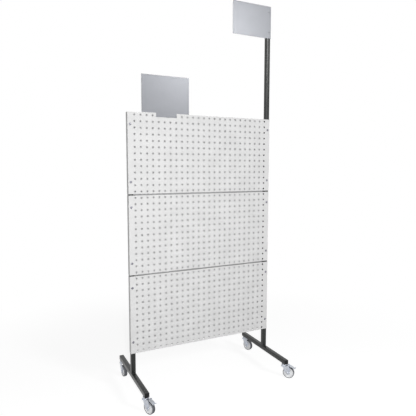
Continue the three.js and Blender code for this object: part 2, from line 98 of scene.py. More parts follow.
class Finish:
    """A Principled material whose colour, roughness and bump come from noise in object space."""

    def __init__(self, name, metallic=0.0, specular=0.5):
        self.material = bpy.data.materials.new(name)
        self.material.use_nodes = True
        self.nodes = self.material.node_tree.nodes
        self.links = self.material.node_tree.links
        self.shader = self.nodes["Principled BSDF"]
        self.shader.inputs["Metallic"].default_value = metallic
        self.shader.inputs["Specular IOR Level"].default_value = specular
        self.place = self.nodes.new("ShaderNodeTexCoord").outputs["Object"]
        self.normal = None

    def noise(self, size, detail=2.0, stretch=None):
        """Noise whose features are about this size, its coordinates scaled by stretch."""
        texture = self.nodes.new("ShaderNodeTexNoise")
        texture.inputs["Scale"].default_value = 1 / size
        texture.inputs["Detail"].default_value = detail
        place = self.place
        if stretch:
            mapping = self.nodes.new("ShaderNodeMapping")
            mapping.inputs["Scale"].default_value = stretch
            self.links.new(place, mapping.inputs["Vector"])
            place = mapping.outputs["Vector"]
        self.links.new(place, texture.inputs["Vector"])
        return texture.outputs["Fac"]

    def ramp(self, value, stops):
        """Colours, or numbers, at places along a value."""
        ramp = self.nodes.new("ShaderNodeValToRGB")
        elements = ramp.color_ramp.elements
        while len(elements) < len(stops):
            elements.new(0.5)
        for element, (position, colour) in zip(elements, stops):
            element.position = position
            if not isinstance(colour, tuple):
                colour = (colour, colour, colour, 1)
            element.color = colour
        self.links.new(value, ramp.inputs["Fac"])
        return ramp.outputs["Color"]

    def paint(self, colour, shade=None):
        """The base colour, darkened or lightened by a shade."""
        if shade:
            mix = self.nodes.new("ShaderNodeMix")
            mix.data_type = "RGBA"
            mix.blend_type = "MULTIPLY"
            factor, first, second = [socket for socket in mix.inputs if socket.enabled]
            factor.default_value = 1
            self.links.new(colour, first)
            self.links.new(shade, second)
            colour = next(socket for socket in mix.outputs if socket.enabled)
        self.links.new(colour, self.shader.inputs["Base Color"])

    def rough(self, value, low, high):
        """Roughness between two numbers."""
        scale = self.nodes.new("ShaderNodeMapRange")
        scale.inputs["To Min"].default_value = low
        scale.inputs["To Max"].default_value = high
        scale.inputs["From Min"].default_value = NOISE_LOW
        scale.inputs["From Max"].default_value = NOISE_HIGH
        self.links.new(value, scale.inputs["Value"])
        self.links.new(scale.outputs["Result"], self.shader.inputs["Roughness"])

    def bump(self, value, depth):
        """A relief this deep, over the ones before it."""
        bump = self.nodes.new("ShaderNodeBump")
        bump.inputs["Strength"].default_value = 1
        bump.inputs["Distance"].default_value = depth
        self.links.new(value, bump.inputs["Height"])
        if self.normal is not None:
            self.links.new(self.normal, bump.inputs["Normal"])
        self.normal = bump.outputs["Normal"]
        self.links.new(self.normal, self.shader.inputs["Normal"])


def powder_coat(name, low, high, rough, peel, specular=0.5, metallic=0.0, uneven=0.06):
    """Baked powder coat: cloudy colour, a fine speckle and a shallow orange peel."""
    finish = Finish(name, metallic=metallic, specular=specular)
    cloud = finish.ramp(finish.noise(0.09, 3), [(0.3, low), (0.7, high)])
    speckle = finish.ramp(finish.noise(0.0016, 2), [(0.3, 0.93), (0.55, 1.0), (0.75, 1.05)])
    finish.paint(cloud, speckle)
    finish.rough(finish.noise(0.03, 4), rough - uneven, rough + uneven)
    finish.bump(finish.noise(0.0022, 2), peel)
    finish.bump(finish.noise(0.0006, 1), peel * 0.25)
    return finish.material


def zinc_plate(name, low, high, rough):
    """Bright zinc over pressed steel: faint violet and straw clouds, and fine drawing lines."""
    finish = Finish(name, metallic=0.85)
    cloud = finish.ramp(finish.noise(0.012, 3), [(NOISE_LOW, low), (NOISE_HIGH, high)])
    tint = finish.ramp(
        finish.noise(0.02, 1), [(0.35, srgb(244, 247, 253)), (0.65, srgb(252, 252, 249))]
    )
    finish.paint(cloud, tint)
    lines = finish.noise(0.0012, 3, stretch=(1, 1, 0.12))
    finish.rough(lines, rough - 0.08, rough + 0.1)
    finish.bump(lines, 0.00002)
    return finish.material


def moulded(name, low, high, rough, grain, specular=0.5):
    """Moulded plastic: nearly even colour under a fine spark-eroded grain."""
    finish = Finish(name, specular=specular)
    cloud = finish.ramp(finish.noise(0.015, 2), [(0.3, low), (0.7, high)])
    fine = finish.ramp(finish.noise(0.0009, 1), [(0.3, 0.95), (0.7, 1.03)])
    finish.paint(cloud, fine)
    finish.rough(finish.noise(0.004, 3), rough - 0.05, rough + 0.08)
    finish.bump(finish.noise(0.0009, 2), grain)
    return finish.material


def tyre_rubber(name, low, high):
    """Grey thermoplastic rubber with a fine matt grain."""
    finish = Finish(name, specular=0.35)
    finish.paint(finish.ramp(finish.noise(0.007, 3), [(0.3, low), (0.7, high)]))
    finish.rough(finish.noise(0.003, 3), 0.55, 0.75)
    finish.bump(finish.noise(0.0008, 2), 0.00004)
    return finish.material


panel_paint = powder_coat(
    "panel_powder_coat", srgb(214, 214, 214), srgb(222, 222, 222), 0.55, 0.00004, specular=0.3
)
back_paint = powder_coat(
    "back_powder_coat", srgb(204, 204, 205), srgb(208, 208, 209), 0.55, 0.00004, specular=0.3,
    uneven=0.02,
)
frame_paint = powder_coat(
    "frame_powder_coat", srgb(33, 35, 34), srgb(40, 42, 41), 0.3, 0.000008, specular=0.34
)
sign_paint = powder_coat(
    "sign_silver_coat", srgb(124, 126, 131), srgb(127, 129, 134), 0.34, 0.00001, metallic=0.3,
    uneven=0.015,
)
zinc = zinc_plate("zinc_plate", srgb(184, 187, 194), srgb(206, 209, 216), 0.28)
bolt_zinc = zinc_plate("bolt_zinc_plate", srgb(118, 117, 126), srgb(138, 137, 146), 0.32)
black_plastic = moulded(
    "black_plastic", srgb(12, 12, 13), srgb(20, 20, 21), 0.5, 0.00004, specular=0.25
)
white_plastic = moulded(
    "white_plastic", srgb(249, 250, 252), srgb(252, 253, 254), 0.25, 0.00001, specular=0.9
)
side_rubber = tyre_rubber("tyre_side_rubber", srgb(116, 118, 123), srgb(132, 134, 139))
# The tread's rubber is darker than the sides'.
tread_rubber = tyre_rubber("tyre_tread_rubber", srgb(74, 76, 80), srgb(96, 98, 102))


# ---------------------------------------------------------------- mesh helpers

BEVEL_ANGLE = 50  # degrees, edges flatter than this get no bevel
NEARLY_STRAIGHT = math.radians(88)  # half of a corner's angle
UNDER_HALF = 0.49  # of a side
SAME_PLACE = 1e-7  # metres between corners that are one


def as_piece(name, mesh, material, body, place=None, sharp=35, bevel=None):
    """A mesh as a piece that rides on a body, in this material unless the mesh has its own.

    Edges over sharp degrees stay sharp. A bevel is its width and its number of segments.
    """
    obj = bpy.data.objects.new(name, mesh)
    bpy.context.scene.collection.objects.link(obj)
    if place is not None:
        obj.matrix_world = place
    if not mesh.materials:
        mesh.materials.append(material)
    mesh.shade_smooth()
    mesh.set_sharp_from_angle(angle=math.radians(sharp))
    if bevel:
        width, segments = bevel
        rounding = obj.modifiers.new("bevel", "BEVEL")
        rounding.width = width * MM
        rounding.segments = segments
        rounding.limit_method = "ANGLE"
        rounding.angle_limit = math.radians(BEVEL_ANGLE)
        rounding.harden_normals = True
    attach(obj, body)
    return obj


def new_mesh(name, bodies):
    """One mesh from several (corners, faces) pairs in millimetres, its faces turned outwards."""
    build = bmesh.new()
    for corners, faces in bodies:
        placed = [build.verts.new(Vector(corner) * MM) for corner in corners]
        for face in faces:
            build.faces.new([placed[i] for i in face])
    bmesh.ops.remove_doubles(build, verts=build.verts, dist=SAME_PLACE)
    bmesh.ops.recalc_face_normals(build, faces=build.faces)
    mesh = bpy.data.meshes.new(name)
    build.to_mesh(mesh)
    build.free()
    return mesh


def loft(rings, closed_ends=True):
    """A skin over rings, its ends closed or else its last ring joined to the first."""
    count = len(rings[0])
    corners = [corner for ring in rings for corner in ring]
    faces = []
    for level in range(len(rings) - 1):
        for i in range(count):
            j = (i + 1) % count
            low, high = level * count, (level + 1) * count
            faces.append((low + i, low + j, high + j, high + i))
    last = (len(rings) - 1) * count
    if closed_ends:
        faces.append(tuple(range(count - 1, -1, -1)))
        faces.append(tuple(range(last, last + count)))
    else:
        for i in range(count):
            j = (i + 1) % count
            faces.append((last + i, last + j, j, i))
    return corners, faces


def lathe(profile, sides=48, axis="z"):
    """A closed body turned from (radius, height) points, both ends on the axis or joined up."""
    corners, rows = [], []
    for radius, height in profile:
        if radius < 1e-6:
            rows.append([len(corners)])
            corners.append((0, 0, height))
            continue
        rows.append(list(range(len(corners), len(corners) + sides)))
        for i in range(sides):
            angle = 2 * math.pi * i / sides
            corners.append((radius * math.cos(angle), radius * math.sin(angle), height))
    ends_on_axis = profile[0][0] < 1e-6
    pairs = list(zip(rows, rows[1:]))
    if not ends_on_axis:
        pairs.append((rows[-1], rows[0]))
    faces = []
    for lower, upper in pairs:
        for i in range(sides):
            j = (i + 1) % sides
            if len(lower) == 1:
                faces.append((lower[0], upper[j], upper[i]))
            elif len(upper) == 1:
                faces.append((lower[i], lower[j], upper[0]))
            else:
                faces.append((lower[i], lower[j], upper[j], upper[i]))
    if axis == "x":
        corners = [(z, x, y) for x, y, z in corners]
    if axis == "y":
        corners = [(x, z, -y) for x, y, z in corners]
    return corners, faces


def arc(cx, cy, radius, start, end, steps):
    """Points on an arc, angles in degrees."""
    points = []
    for i in range(steps + 1):
        angle = math.radians(start + (end - start) * i / steps)
        points.append((cx + radius * math.cos(angle), cy + radius * math.sin(angle)))
    return points


def rounded_square(half, radius, steps=5):
    """A square's outline with turned corners, from half its side."""
    inner = half - radius
    points = []
    for k, (sx, sy) in enumerate([(1, 1), (-1, 1), (-1, -1), (1, -1)]):
        points += arc(sx * inner, sy * inner, radius, 90 * k, 90 * k + 90, steps)
    return points


def rounded(points, radii, steps=4):
    """A closed outline whose corners are turned on these radii, nearly straight ones left out.

    No turn takes up half of a side, so that the next corner keeps its own.
    """
    outline = []
    count = len(points)
    for i in range(count):
        here = Vector(points[i])
        before = Vector(points[i - 1]) - here
        after = Vector(points[(i + 1) % count]) - here
        radius = radii[i] if isinstance(radii, (list, tuple)) else radii
        half_angle = before.angle(after) / 2
        if radius <= 0 or half_angle > NEARLY_STRAIGHT:
            outline.append(tuple(here))
            continue
        most = UNDER_HALF * min(before.length, after.length)
        cut = min(radius / math.tan(half_angle), most)
        first = here + before.normalized() * cut
        last = here + after.normalized() * cut
        for k in range(steps + 1):
            t = k / steps
            outline.append(tuple(first.lerp(here, t).lerp(here.lerp(last, t), t)))
    return outline


def prism(outline, low, high, axes):
    """A prism: axes places the outline's two numbers and the distance between low and high."""
    rings = [[axes(a, b, c) for a, b in outline] for c in (low, high)]
    return loft(rings)


def box_body(x, y, z):
    """A box from its pairs of lowest and highest numbers."""
    outline = [(x[0], y[0]), (x[1], y[0]), (x[1], y[1]), (x[0], y[1])]
    return prism(outline, z[0], z[1], lambda a, b, c: (a, b, c))


def plate_body(low, high, radius, steps):
    """An upright plate between two corners, its own corners turned on this radius."""
    corners = [(low.x, low.z), (high.x, low.z), (high.x, high.z), (low.x, high.z)]
    return prism(rounded(corners, radius, steps), low.y, high.y, lambda a, b, c: (a, c, b))


def applied(obj):
    """The object's mesh with its modifiers in it."""
    bpy.context.view_layer.update()
    graph = bpy.context.evaluated_depsgraph_get()
    return bpy.data.meshes.new_from_object(obj.evaluated_get(graph))


def combined(name, operation, bodies):
    """The mesh of the first closed body with the others joined to it or cut from it."""
    objects = []
    for body in bodies:
        objects.append(bpy.data.objects.new(name, new_mesh(name, [body])))
        bpy.context.scene.collection.objects.link(objects[-1])
    for other in objects[1:]:
        step = objects[0].modifiers.new(operation, "BOOLEAN")
        step.operation = operation
        step.solver = "EXACT"
        step.object = other
    mesh = applied(objects[0])
    mesh.name = name
    for obj in objects:
        bpy.data.objects.remove(obj)
    return mesh


def with_bodies(mesh, bodies):
    """The mesh with more closed bodies beside its own."""
    build = bmesh.new()
    build.from_mesh(mesh)
    build.from_mesh(new_mesh("more", bodies))
    build.to_mesh(mesh)
    build.free()
    mesh.materials.clear()
    return mesh


def box_mm(node):
    """The lowest and highest corner of a CAD node, in millimetres."""
    low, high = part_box(node)
    return low / MM, high / MM


# ---------------------------------------------------------------- tubes, caps and welds

TUBE_CORNER = 2.4  # outer radius of the tube's corners
TUBE_INNER_CORNER = 1.2
TUBE_WALL = 2.0
TUBE_EDGE = 0.35  # ease on the sawn ends' outer edges
CAP_HEIGHT = 2.5  # of a cap over its tube
WELD_REACH = 3.0
WELD_INSET = 1.6  # the beads stop this far from the tube's corners


def tube(name, node, axis):
    """Square tube with rolled corners, open at both ends, where its CAD node is."""
    low, high = box_mm(node)
    centre = (low + high) / 2
    half = (high.x - low.x) / 2
    outer = rounded_square(half, TUBE_CORNER)
    inner = rounded_square(half - TUBE_WALL, TUBE_INNER_CORNER)
    eased = rounded_square(half - TUBE_EDGE, TUBE_CORNER - TUBE_EDGE)
    if axis == "z":
        start, end = low.z, high.z
        put = lambda a, b, c: (centre.x + a, centre.y + b, c)
    else:
        start, end = low.y, high.y
        put = lambda a, b, c: (centre.x + a, c, centre.z + b)
    sections = [
        (outer, start + TUBE_EDGE),
        (outer, end - TUBE_EDGE),
        (eased, end),
        (inner, end),
        (inner, start),
        (eased, start),
    ]
    rings = [[put(a, b, c) for a, b in section] for section, c in sections]
    mesh = new_mesh(name, [loft(rings, closed_ends=False)])
    obj = as_piece(name, mesh, frame_paint, "frame", sharp=30)
    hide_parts(node)


def cap_mesh(tube_half):
    """Push-in cap, its plate above z = 0: soft edges, a faint crown and a ribbed plug below."""
    steps = [  # inset from the tube's side, corner radius, height
        (3.1, 0.6, -12.0),
        (2.5, 0.9, -10.6),
        (2.5, 0.9, -9.6),
        (3.0, 0.8, -9.0),
        (2.4, 0.9, -7.4),
        (2.4, 0.9, -6.4),
        (3.0, 0.8, -5.8),
        (2.3, 0.9, -4.2),
        (2.3, 0.9, 0.3),
        (0.0, TUBE_CORNER, 0.3),
        (0.0, TUBE_CORNER, 1.5),
        (0.2, TUBE_CORNER, 1.95),
        (0.7, 2.3, 2.3),
        (1.4, 2.2, 2.48),
        (4.5, 2.0, CAP_HEIGHT),
    ]
    rings = [
        [(x, y, z) for x, y in rounded_square(tube_half - inset, corner)]
        for inset, corner, z in steps
    ]
    return new_mesh("tube_cap", [loft(rings)])


def add_caps():
    """A cap in each open end of a tube, turned to face outwards."""
    tube_low, tube_high = box_mm("left_upright")
    mesh = cap_mesh((tube_high.x - tube_low.x) / 2)
    mesh.materials.append(black_plastic)
    turns = {  # about x, in degrees
        "left_upright_cap": 0,
        "mast_cap": 0,
        "left_foot_front_cap": 90,
        "right_foot_front_cap": 90,
        "left_foot_rear_cap": -90,
        "right_foot_rear_cap": -90,
    }
    for node, degrees in turns.items():
        turn = Matrix.Rotation(math.radians(degrees), 4, "X")
        low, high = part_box(node)
        centre = (low + high) / 2
        outwards = turn.to_3x3() @ Vector((0, 0, 1))
        thickness = (high - low).dot(Vector(map(abs, outwards)))
        tube_end = centre + outwards * (thickness / 2 - CAP_HEIGHT * MM)
        obj = as_piece(
            f"{node}_moulding", mesh, black_plastic, "frame",
            place=Matrix.Translation(tube_end) @ turn, sharp=40,
        )
        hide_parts(node)


def weld_body(start, end, up, out):
    """A rippled fillet bead from start to end, on the corner between up and out."""
    start, end, up, out = (Vector(v) for v in (start, end, up, out))
    length = (end - start).length
    ring_gap, ripple_pitch, root_depth, sides = 0.45, 2.1, 0.4, 8
    first_angle, swept = -0.24, 0.65 * math.pi  # a little past both faces of the corner
    count = int(length / ring_gap)
    rings = []
    for i in range(count + 1):
        t = i / count
        ripple = 1 + 0.09 * math.sin(2 * math.pi * t * length / ripple_pitch)
        ripple += 0.05 * math.sin(17.3 * t)
        taper = min(1.0, 0.35 + 3.0 * min(t, 1 - t))
        reach = WELD_REACH * ripple * taper
        centre = start.lerp(end, t)
        ring = []
        for k in range(sides + 1):
            angle = first_angle + swept * k / sides
            ring.append(tuple(centre + (up * math.sin(angle) + out * math.cos(angle)) * reach))
        ring.append(tuple(centre - (up + out) * root_depth))
        rings.append(ring)
    return loft(rings)


def add_welds():
    """Fillet beads in front of and behind each upright, where it stands on its foot."""
    for side, node in (("left", "left_upright"), ("right", "right_upright_mast")):
        low, high = box_mm(node)
        foot_top = box_mm(f"{side}_foot")[1].z
        bodies = []
        for y, out in ((low.y, -1), (high.y, 1)):
            start = (low.x + WELD_INSET, y, foot_top)
            end = (high.x - WELD_INSET, y, foot_top)
            bodies.append(weld_body(start, end, (0, 0, 1), (0, out, 0)))
        as_piece(
            f"{side}_upright_weld", new_mesh(f"{side}_weld", bodies), frame_paint,
            "frame", sharp=180,
        )


# ---------------------------------------------------------------- board

LEVELS = ("upper", "middle", "lower")
SHEET = 1.5
BEND = 2.2  # outer radius of the panels' bends
BEND_STEP = 15  # degrees between a bend's edges
HOLE = 10.0
PITCH = 38.0
HOLE_CORNER = 0.9
FIRST_ROW = 15.0  # below the panel's top edge
ROWS = 13
COLUMNS_EACH_SIDE = 12  # of the middle column
RETURN_DEPTH = 15.0  # of the folded top and bottom edges
RETURN_GAP = 4.0  # between these and the uprights


def bend_path():
    """A quarter bend: pairs of (how far outwards, how far back) from its start on the face."""
    angles = [math.radians(degrees) for degrees in range(0, 91, BEND_STEP)]
    return [(BEND * math.sin(t), BEND - BEND * math.cos(t)) for t in angles]


def panel_skin(low, high, return_half):
    """The outside of one perforated panel: face, side flanges, and folded top and bottom edges."""
    centre_x = (low.x + high.x) / 2
    rows = [high.z - FIRST_ROW - PITCH * j for j in range(ROWS)]
    columns = [
        centre_x + PITCH * k for k in range(-COLUMNS_EACH_SIDE, COLUMNS_EACH_SIDE + 1)
    ]
    left, right = low.x + BEND, high.x - BEND
    cell_left, cell_right = centre_x - return_half, centre_x + return_half
    xs = [cell_left] + [c + PITCH / 2 for c in columns[:-1]] + [cell_right]
    zs = [high.z - BEND] + [r - PITCH / 2 for r in rows[:-1]] + [low.z + BEND]
    corners, faces, index = [], [], {}

    def corner(x, y, z):
        key = (round(x, 4), round(y, 4), round(z, 4))
        if key not in index:
            index[key] = len(corners)
            corners.append((x, y, z))
        return index[key]

    def quad(*points):
        faces.append(tuple(corner(*p) for p in points))

    y = low.y
    steps = 3  # in each turned corner of a hole
    hole = rounded_square(HOLE / 2, HOLE_CORNER, steps)
    hole_arcs = [hole[i:i + steps + 1] for i in range(0, len(hole), steps + 1)]
    for j, z in enumerate(rows):
        top, bottom = zs[j], zs[j + 1]
        for k, x in enumerate(columns):
            a, b = xs[k], xs[k + 1]
            cell = [(b, top), (a, top), (a, bottom), (b, bottom)]
            arcs = [[(x + p, z + q) for p, q in hole_arc] for hole_arc in hole_arcs]
            for i in range(4):
                cx, cz = cell[i]
                for first, second in zip(arcs[i], arcs[i][1:]):
                    quad((cx, y, cz), (second[0], y, second[1]), (first[0], y, first[1]))
                nx, nz = cell[(i + 1) % 4]
                start, end = arcs[i][-1], arcs[(i + 1) % 4][0]
                quad((cx, y, cz), (nx, y, nz), (end[0], y, end[1]), (start[0], y, start[1]))
        # the margins beside the outer columns
        quad((left, y, top), (left, y, bottom), (cell_left, y, bottom), (cell_left, y, top))
        quad((cell_right, y, top), (cell_right, y, bottom), (right, y, bottom), (right, y, top))
    levels = [high.z] + zs + [low.z]
    for x0, x1 in ((left, cell_left), (cell_right, right)):
        for z0, z1 in ((high.z, high.z - BEND), (low.z + BEND, low.z)):
            quad((x0, y, z0), (x0, y, z1), (x1, y, z1), (x1, y, z0))
    # side flanges
    for edge, out in ((low.x, -1), (high.x, 1)):
        inner = edge - out * BEND
        path = [(inner + out * outwards, y + back) for outwards, back in bend_path()]
        path.append((edge, high.y))
        for (xa, ya), (xb, yb) in zip(path, path[1:]):
            for z0, z1 in zip(levels, levels[1:]):
                quad((xa, ya, z0), (xa, ya, z1), (xb, yb, z1), (xb, yb, z0))
    # folded top and bottom edges
    for edge, out in ((high.z, 1), (low.z, -1)):
        inner = edge - out * BEND
        path = [(y + back, inner + out * outwards) for outwards, back in bend_path()]
        path.append((y + RETURN_DEPTH, edge))
        for (ya, za), (yb, zb) in zip(path, path[1:]):
            for x0, x1 in zip(xs, xs[1:]):
                quad((x0, ya, za), (x0, yb, zb), (x1, yb, zb), (x1, ya, za))
    return corners, faces


def add_panels():
    """The panels, their outsides thickened inwards to sheet."""
    back_low, back_high = box_mm("back_sheet")
    return_half = (back_low.x + back_high.x) / 2 - box_mm("left_upright")[1].x - RETURN_GAP
    for level in LEVELS:
        node = f"{level}_panel"
        low, high = box_mm(node)
        mesh = new_mesh(node, [panel_skin(low, high, return_half)])
        frontmost = min(mesh.polygons, key=lambda face: face.center.y)
        if frontmost.normal.y > 0:
            mesh.flip_normals()
        obj = as_piece(f"{node}_sheet", mesh, panel_paint, "frame", sharp=40)
        thick = obj.modifiers.new("sheet", "SOLIDIFY")
        thick.thickness = SHEET * MM
        thick.offset = -1
        edges = obj.modifiers.new("edges", "BEVEL")
        edges.width = 0.28 * MM
        edges.segments = 2
        edges.limit_method = "ANGLE"
        edges.angle_limit = math.radians(BEVEL_ANGLE)
        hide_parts(node)


def add_back():
    """The back sheet, its edges eased and its corners turned on a small radius."""
    low, high = box_mm("back_sheet")
    mesh = new_mesh("back_cover", [plate_body(low, high, radius=3, steps=5)])
    obj = as_piece(
        "back_cover", mesh, back_paint, "frame", bevel=(0.3, 2)
    )
    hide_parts("back_sheet")


# ---------------------------------------------------------------- fasteners

BOLT_HEIGHT = 3.4  # of a bolt's head over its seat
SCREW_HEIGHT = 1.8


def add_fastener(node, suffix, mesh, turn, height, front):
    """One bolt or screw, turned, with its seat this far under the node's front or rear."""
    low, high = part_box(node)
    seat = (low + high) / 2
    seat.y = low.y + height * MM if front else high.y - height * MM
    obj = as_piece(
        f"{node}_{suffix}", mesh, None, "frame", place=Matrix.Translation(seat) @ turn
    )
    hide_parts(node)


def add_bolts():
    """Coach bolts: a dome on a thin rim, and a square neck on the way in."""
    dome = [(0, -BOLT_HEIGHT)] + [(7.3 * math.sin(t), -0.7 - 2.7 * math.cos(t))
                                  for t in (math.radians(11.25 * i) for i in range(1, 8))]
    head = lathe(dome + [(7.5, -0.55), (7.5, -0.2), (7.3, 0), (0, 0)], 40, "y")
    neck = box_body((-3, 3), (-0.5, 9.6), (-3, 3))
    mesh = new_mesh("coach_bolt", [head, neck])
    mesh.materials.append(bolt_zinc)
    for level in LEVELS:
        for side in ("left", "right"):
            for place in (1, 2):
                node = f"{level}_panel_{side}_bolt_{place}"
                add_fastener(
                    node, "dome", mesh, Matrix.Identity(4), BOLT_HEIGHT, front=True
                )


def add_screws():
    """Pan-head screws with a cross recess."""
    head = [(0, 0), (4.3, 0), (4.5, 0.15), (4.5, 0.5)]
    head += [(4.5 * math.cos(t), 0.5 + 1.3 * math.sin(t))
             for t in (math.radians(12 * i) for i in range(1, 7))]
    head += [(0, SCREW_HEIGHT)]
    shape = lathe(head, 40, "y")
    arms = rounded(
        [(0.55, 2.3), (-0.55, 2.3), (-0.55, 0.55), (-2.3, 0.55), (-2.3, -0.55), (-0.55, -0.55),
         (-0.55, -2.3), (0.55, -2.3), (0.55, -0.55), (2.3, -0.55), (2.3, 0.55), (0.55, 0.55)],
        0.2, 3,
    )
    recess = prism(arms, 0.7, 2.5, lambda a, b, c: (a, c, b))
    mesh = combined("pan_head_screw", "DIFFERENCE", [shape, recess])
    shank = lathe([(0, -8), (1.6, -8), (2, -7.4), (2, 0.2), (0, 0.2)], 24, "y")
    zinc_mesh = with_bodies(mesh, [shank])
    sign_mesh = zinc_mesh.copy()
    zinc_mesh.materials.append(bolt_zinc)
    sign_mesh.materials.append(sign_paint)
    for side in ("left", "right"):
        for place in (1, 2, 3):
            node = f"back_{side}_screw_{place}"
            turn = Matrix.Rotation(math.radians(23 * place), 4, "Y")
            add_fastener(node, "head", zinc_mesh, turn, SCREW_HEIGHT, front=False)
    to_front = Matrix.Rotation(math.pi, 4, "Z")
    for place in (1, 2):
        node = f"mast_sign_screw_{place}"
        turn = to_front @ Matrix.Rotation(math.radians(31 * place), 4, "Y")
        add_fastener(node, "head", sign_mesh, turn, SCREW_HEIGHT, front=True)


# ---------------------------------------------------------------- signs

RIM_INSET = 0.6  # the hem stops this far from the plate's edge
RIM_HEIGHT = 0.5  # over the plate's face
LIP_HEIGHT = 0.9
SUNK = 0.1  # the hem and lip reach this far into the plate
TONGUE_DROP = 25
TONGUE_HALF = 66.5
TONGUE_SHIFT = 4  # from the plate's middle to the right
CLIP_SHEET = 1.2
CLIP_GAP = 0.3  # between the clip and the board's top edge


def rim_body(x, z, width, face_y):
    """A flat hem of this width round the edge of a plate whose face is at this y."""
    front, rear = face_y - RIM_HEIGHT, face_y + SUNK
    rings = []
    for inset, y in ((RIM_INSET, rear), (RIM_INSET, front),
                     (RIM_INSET + width, front), (RIM_INSET + width, rear)):
        x0, x1, z0, z1 = x[0] + inset, x[1] - inset, z[0] + inset, z[1] - inset
        rings.append([(x0, y, z0), (x1, y, z0), (x1, y, z1), (x0, y, z1)])
    return loft(rings, closed_ends=False)


def add_header_sign():
    """The header sign: a hemmed plate whose tongue hangs before the board, with a raised lip."""
    low, high = box_mm("header_sign")
    middle = (low.x + high.x) / 2 + TONGUE_SHIFT
    left, right = middle - TONGUE_HALF, middle + TONGUE_HALF
    plate_low = low.z + TONGUE_DROP
    outline = rounded(
        [(low.x, plate_low), (left, plate_low), (left, low.z), (right, low.z),
         (right, plate_low), (high.x, plate_low), (high.x, high.z), (low.x, high.z)],
        [2, 0.8, 1.5, 1.5, 0.8, 2, 2, 2],
    )
    plate = prism(outline, low.y, high.y, lambda a, b, c: (a, c, b))
    rim = rim_body((low.x, high.x), (plate_low, high.z), 10, low.y)
    lip = box_body(
        (left + RIM_INSET, right - RIM_INSET),
        (low.y - LIP_HEIGHT, low.y + SUNK),
        (low.z + RIM_INSET, low.z + TONGUE_DROP / 2),
    )
    mesh = new_mesh("header_sign", [plate, rim, lip])
    obj = as_piece(
        "header_sign_plate", mesh, sign_paint, "header_sign", bevel=(0.3, 2)
    )
    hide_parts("header_sign")


def add_mast_sign():
    """The hemmed plate at the head of the mast."""
    low, high = box_mm("mast_sign")
    plate = plate_body(low, high, radius=2, steps=4)
    rim = rim_body((low.x, high.x), (low.z, high.z), 9, low.y)
    mesh = new_mesh("mast_sign", [plate, rim])
    obj = as_piece(
        "mast_sign_plate", mesh, sign_paint, "frame", bevel=(0.3, 2)
    )
    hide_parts("mast_sign")


def strip_outline(path, thickness, radius, steps=5):
    """The closed outline of a bent strip, from its centre line's corners."""
    line = [Vector(path[0])]
    for i in range(1, len(path) - 1):
        here = Vector(path[i])
        before, after = (Vector(path[i - 1]) - here), (Vector(path[i + 1]) - here)
        half_angle = before.angle(after) / 2
        cut = radius / math.tan(half_angle)
        first, last = here + before.normalized() * cut, here + after.normalized() * cut
        for k in range(steps + 1):
            t = k / steps
            line.append(first.lerp(here, t).lerp(here.lerp(last, t), t))
    line.append(Vector(path[-1]))
    left, right = [], []
    for i, point in enumerate(line):
        ahead = line[min(i + 1, len(line) - 1)] - line[max(i - 1, 0)]
        side = Vector((-ahead.y, ahead.x)).normalized() * thickness / 2
        left.append(tuple(point + side))
        right.append(tuple(point - side))
    return left + right[::-1]


def add_header_clip():
    """The strip folded over the board's top edge, behind the header sign."""
    low, high = box_mm("header_sign_clip")
    half = CLIP_SHEET / 2
    web = box_mm("upper_panel")[1].z + CLIP_GAP + half
    path = [
        (low.y + half, high.z),
        (low.y + half, web),
        (high.y - half, web),
        (high.y - half, low.z),
    ]
    outline = strip_outline(path, CLIP_SHEET, 1.0)
    body = prism(outline, low.x, high.x, lambda a, b, c: (c, a, b))
    mesh = new_mesh("header_clip", [body])
    obj = as_piece(
        "header_sign_clip_strip", mesh, sign_paint, "header_sign", bevel=(0.2, 2)
    )
    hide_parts("header_sign_clip")


# ---------------------------------------------------------------- castors
# A castor's own frame: the swivel axis is z, the wheel trails towards -y, the floor is z = 0.

TRAIL = 30.0
WHEEL = 37.5  # radius, and the axle's height
CROWN = 80.0  # floor to the underside of the fork's crown
CROWN_REACH = 17  # of the crown before and behind the swivel axis
FORK_SHEET = 2.5
FORK_HALF = 13.25  # from the middle to the inside of a cheek
FORK_OUTER = FORK_HALF + FORK_SHEET
FORK_BEND = 4.0  # outer radius between crown and cheek
LEG = 76.0  # height at which the crown's folded legs end
OVERLAP = 77.0  # height up to which the cheeks run beside them
AXLE_SEAT = FORK_OUTER + 0.3  # from the middle to the inside of a washer
PEDAL_PIN = 83.0  # height
PEDAL_HALF = 11.0  # of the pedal's width
PEDAL_SHEET = 2.1
TOE_RADIUS = 6.0
TREAD_HALF = 9.4  # of the width of the tread band that takes the darker rubber
TREAD_FROM = 36  # radius from which the tyre is tread


def stem_mesh():
    """The cap under the foot, the stem up into it and the king pin, in one turned piece."""
    profile = [
        (0, 77.3), (3.2, 77.4), (5.4, 77.9), (6.4, 78.7), (6.5, 79.4), (6.2, 79.7), (4, 79.7),
        (4, 90.0), (14.6, 90.0), (15.6, 90.4), (15.9, 91.3), (16.6, 91.8), (17.0, 92.5),
        (17.0, 94.4), (16.6, 95.0), (15.8, 95.2), (5, 95.2), (5, 112.5), (4.2, 113.5), (0, 113.5),
    ]
    return new_mesh("castor_stem", [lathe(profile, 56)])


def side_prism(outline, low, high):
    """A prism across the castor from an outline of (forwards, height) points."""
    return prism(outline, low, high, lambda a, b, c: (c, -a, b))


